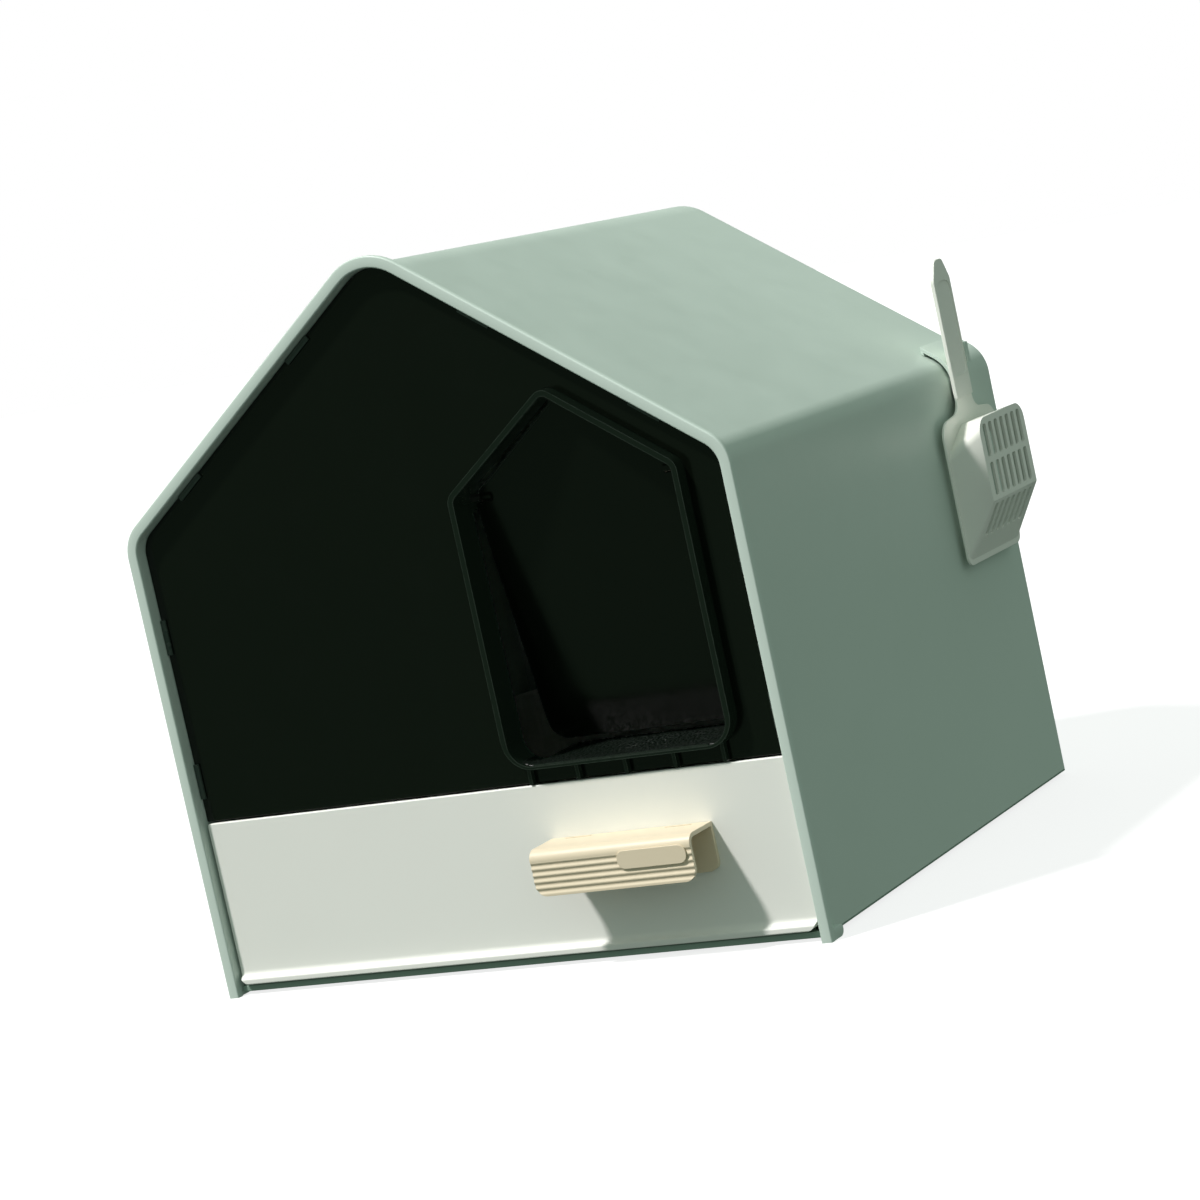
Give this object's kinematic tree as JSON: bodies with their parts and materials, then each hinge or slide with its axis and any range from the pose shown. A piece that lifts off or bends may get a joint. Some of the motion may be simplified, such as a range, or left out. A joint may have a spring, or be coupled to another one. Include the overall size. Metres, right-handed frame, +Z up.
{
  "type": "covered litter box",
  "caption": "House-shaped covered litter box with a swing flap in a smoked front panel, a pull-out litter drawer with a handle, and a slotted scoop hung at the eave.",
  "frame": {"origin": "middle of the base's footprint on the floor, under the central rest pad of the base", "axes": "+X to the right seen from the front, +Y from the front rim to the back wall, +Z up"},
  "size_m": [0.4748, 0.4625, 0.4731],
  "materials": {
    "mint": "satin",
    "smoke": "polished",
    "cream": "satin",
    "white": "satin",
    "grip": "matte",
    "foot": "matte",
    "rail": "satin",
    "pin": "satin",
    "scoop": "satin"
  },
  "bodies": {
    "house": {"hood_shell": "mint", "front_panel": "smoke", "panel_clips_left": "smoke", "panel_clips_right": "smoke", "entry_frame": "smoke", "sill_grip": "grip", "base_pan": "mint", "foot_front_left": "foot", "foot_front_right": "foot", "foot_back_left": "foot", "foot_back_right": "foot", "rail_left": "rail", "rail_right": "rail", "scoop_holder": "mint", "holder_pegs": "mint"},
    "flap": {"swing_flap": "smoke", "pivot_left": "pin", "pivot_right": "pin"},
    "drawer": {"drawer_tray": "white", "drawer_handle": "cream", "label_plate": "cream"},
    "scoop": {"scoop": "scoop"}
  },
  "joints": [
    {"name": "drawer_slide", "type": "slide", "parent": "house", "child": "drawer", "axis": [0, -1, 0], "range_m": [0, 0.3]},
    {"name": "flap_hinge", "type": "hinge", "parent": "house", "child": "flap", "pos_m": [0.10832, -0.194, 0.307], "axis": [1, 0, 0], "range_deg": [-70.8, 69.2]},
    {"name": "scoop_pull", "type": "slide", "parent": "house", "child": "scoop", "axis": [1, 0, 0], "range_m": [0, 0.08]}
  ]
}
